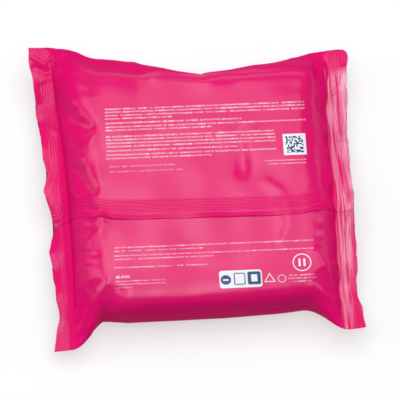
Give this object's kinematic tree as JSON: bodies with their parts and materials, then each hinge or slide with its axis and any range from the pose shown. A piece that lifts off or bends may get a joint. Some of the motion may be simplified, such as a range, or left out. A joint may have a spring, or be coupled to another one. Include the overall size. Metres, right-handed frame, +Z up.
{
  "type": "wet wipes pack",
  "caption": "Sealed flow-wrapped pillow pack of wet wipes in satin pink film, with crimped end seals, a folded-down ribbed back seal and a peel label on the front.",
  "frame": {"origin": "centre of the pack's outline, on the surface that its front lies on", "axes": "+X from the left end seal to the right one, +Y across the pack away from the side nearest the folded back seal, +Z up out of the back"},
  "size_m": [0.1852, 0.183, 0.0412],
  "materials": {
    "pink_film": "satin printed packaging film",
    "label_film": "gloss adhesive label"
  },
  "bodies": {
    "root": {"film_pack": "pink_film", "peel_label": "label_film"}
  },
  "joints": []
}
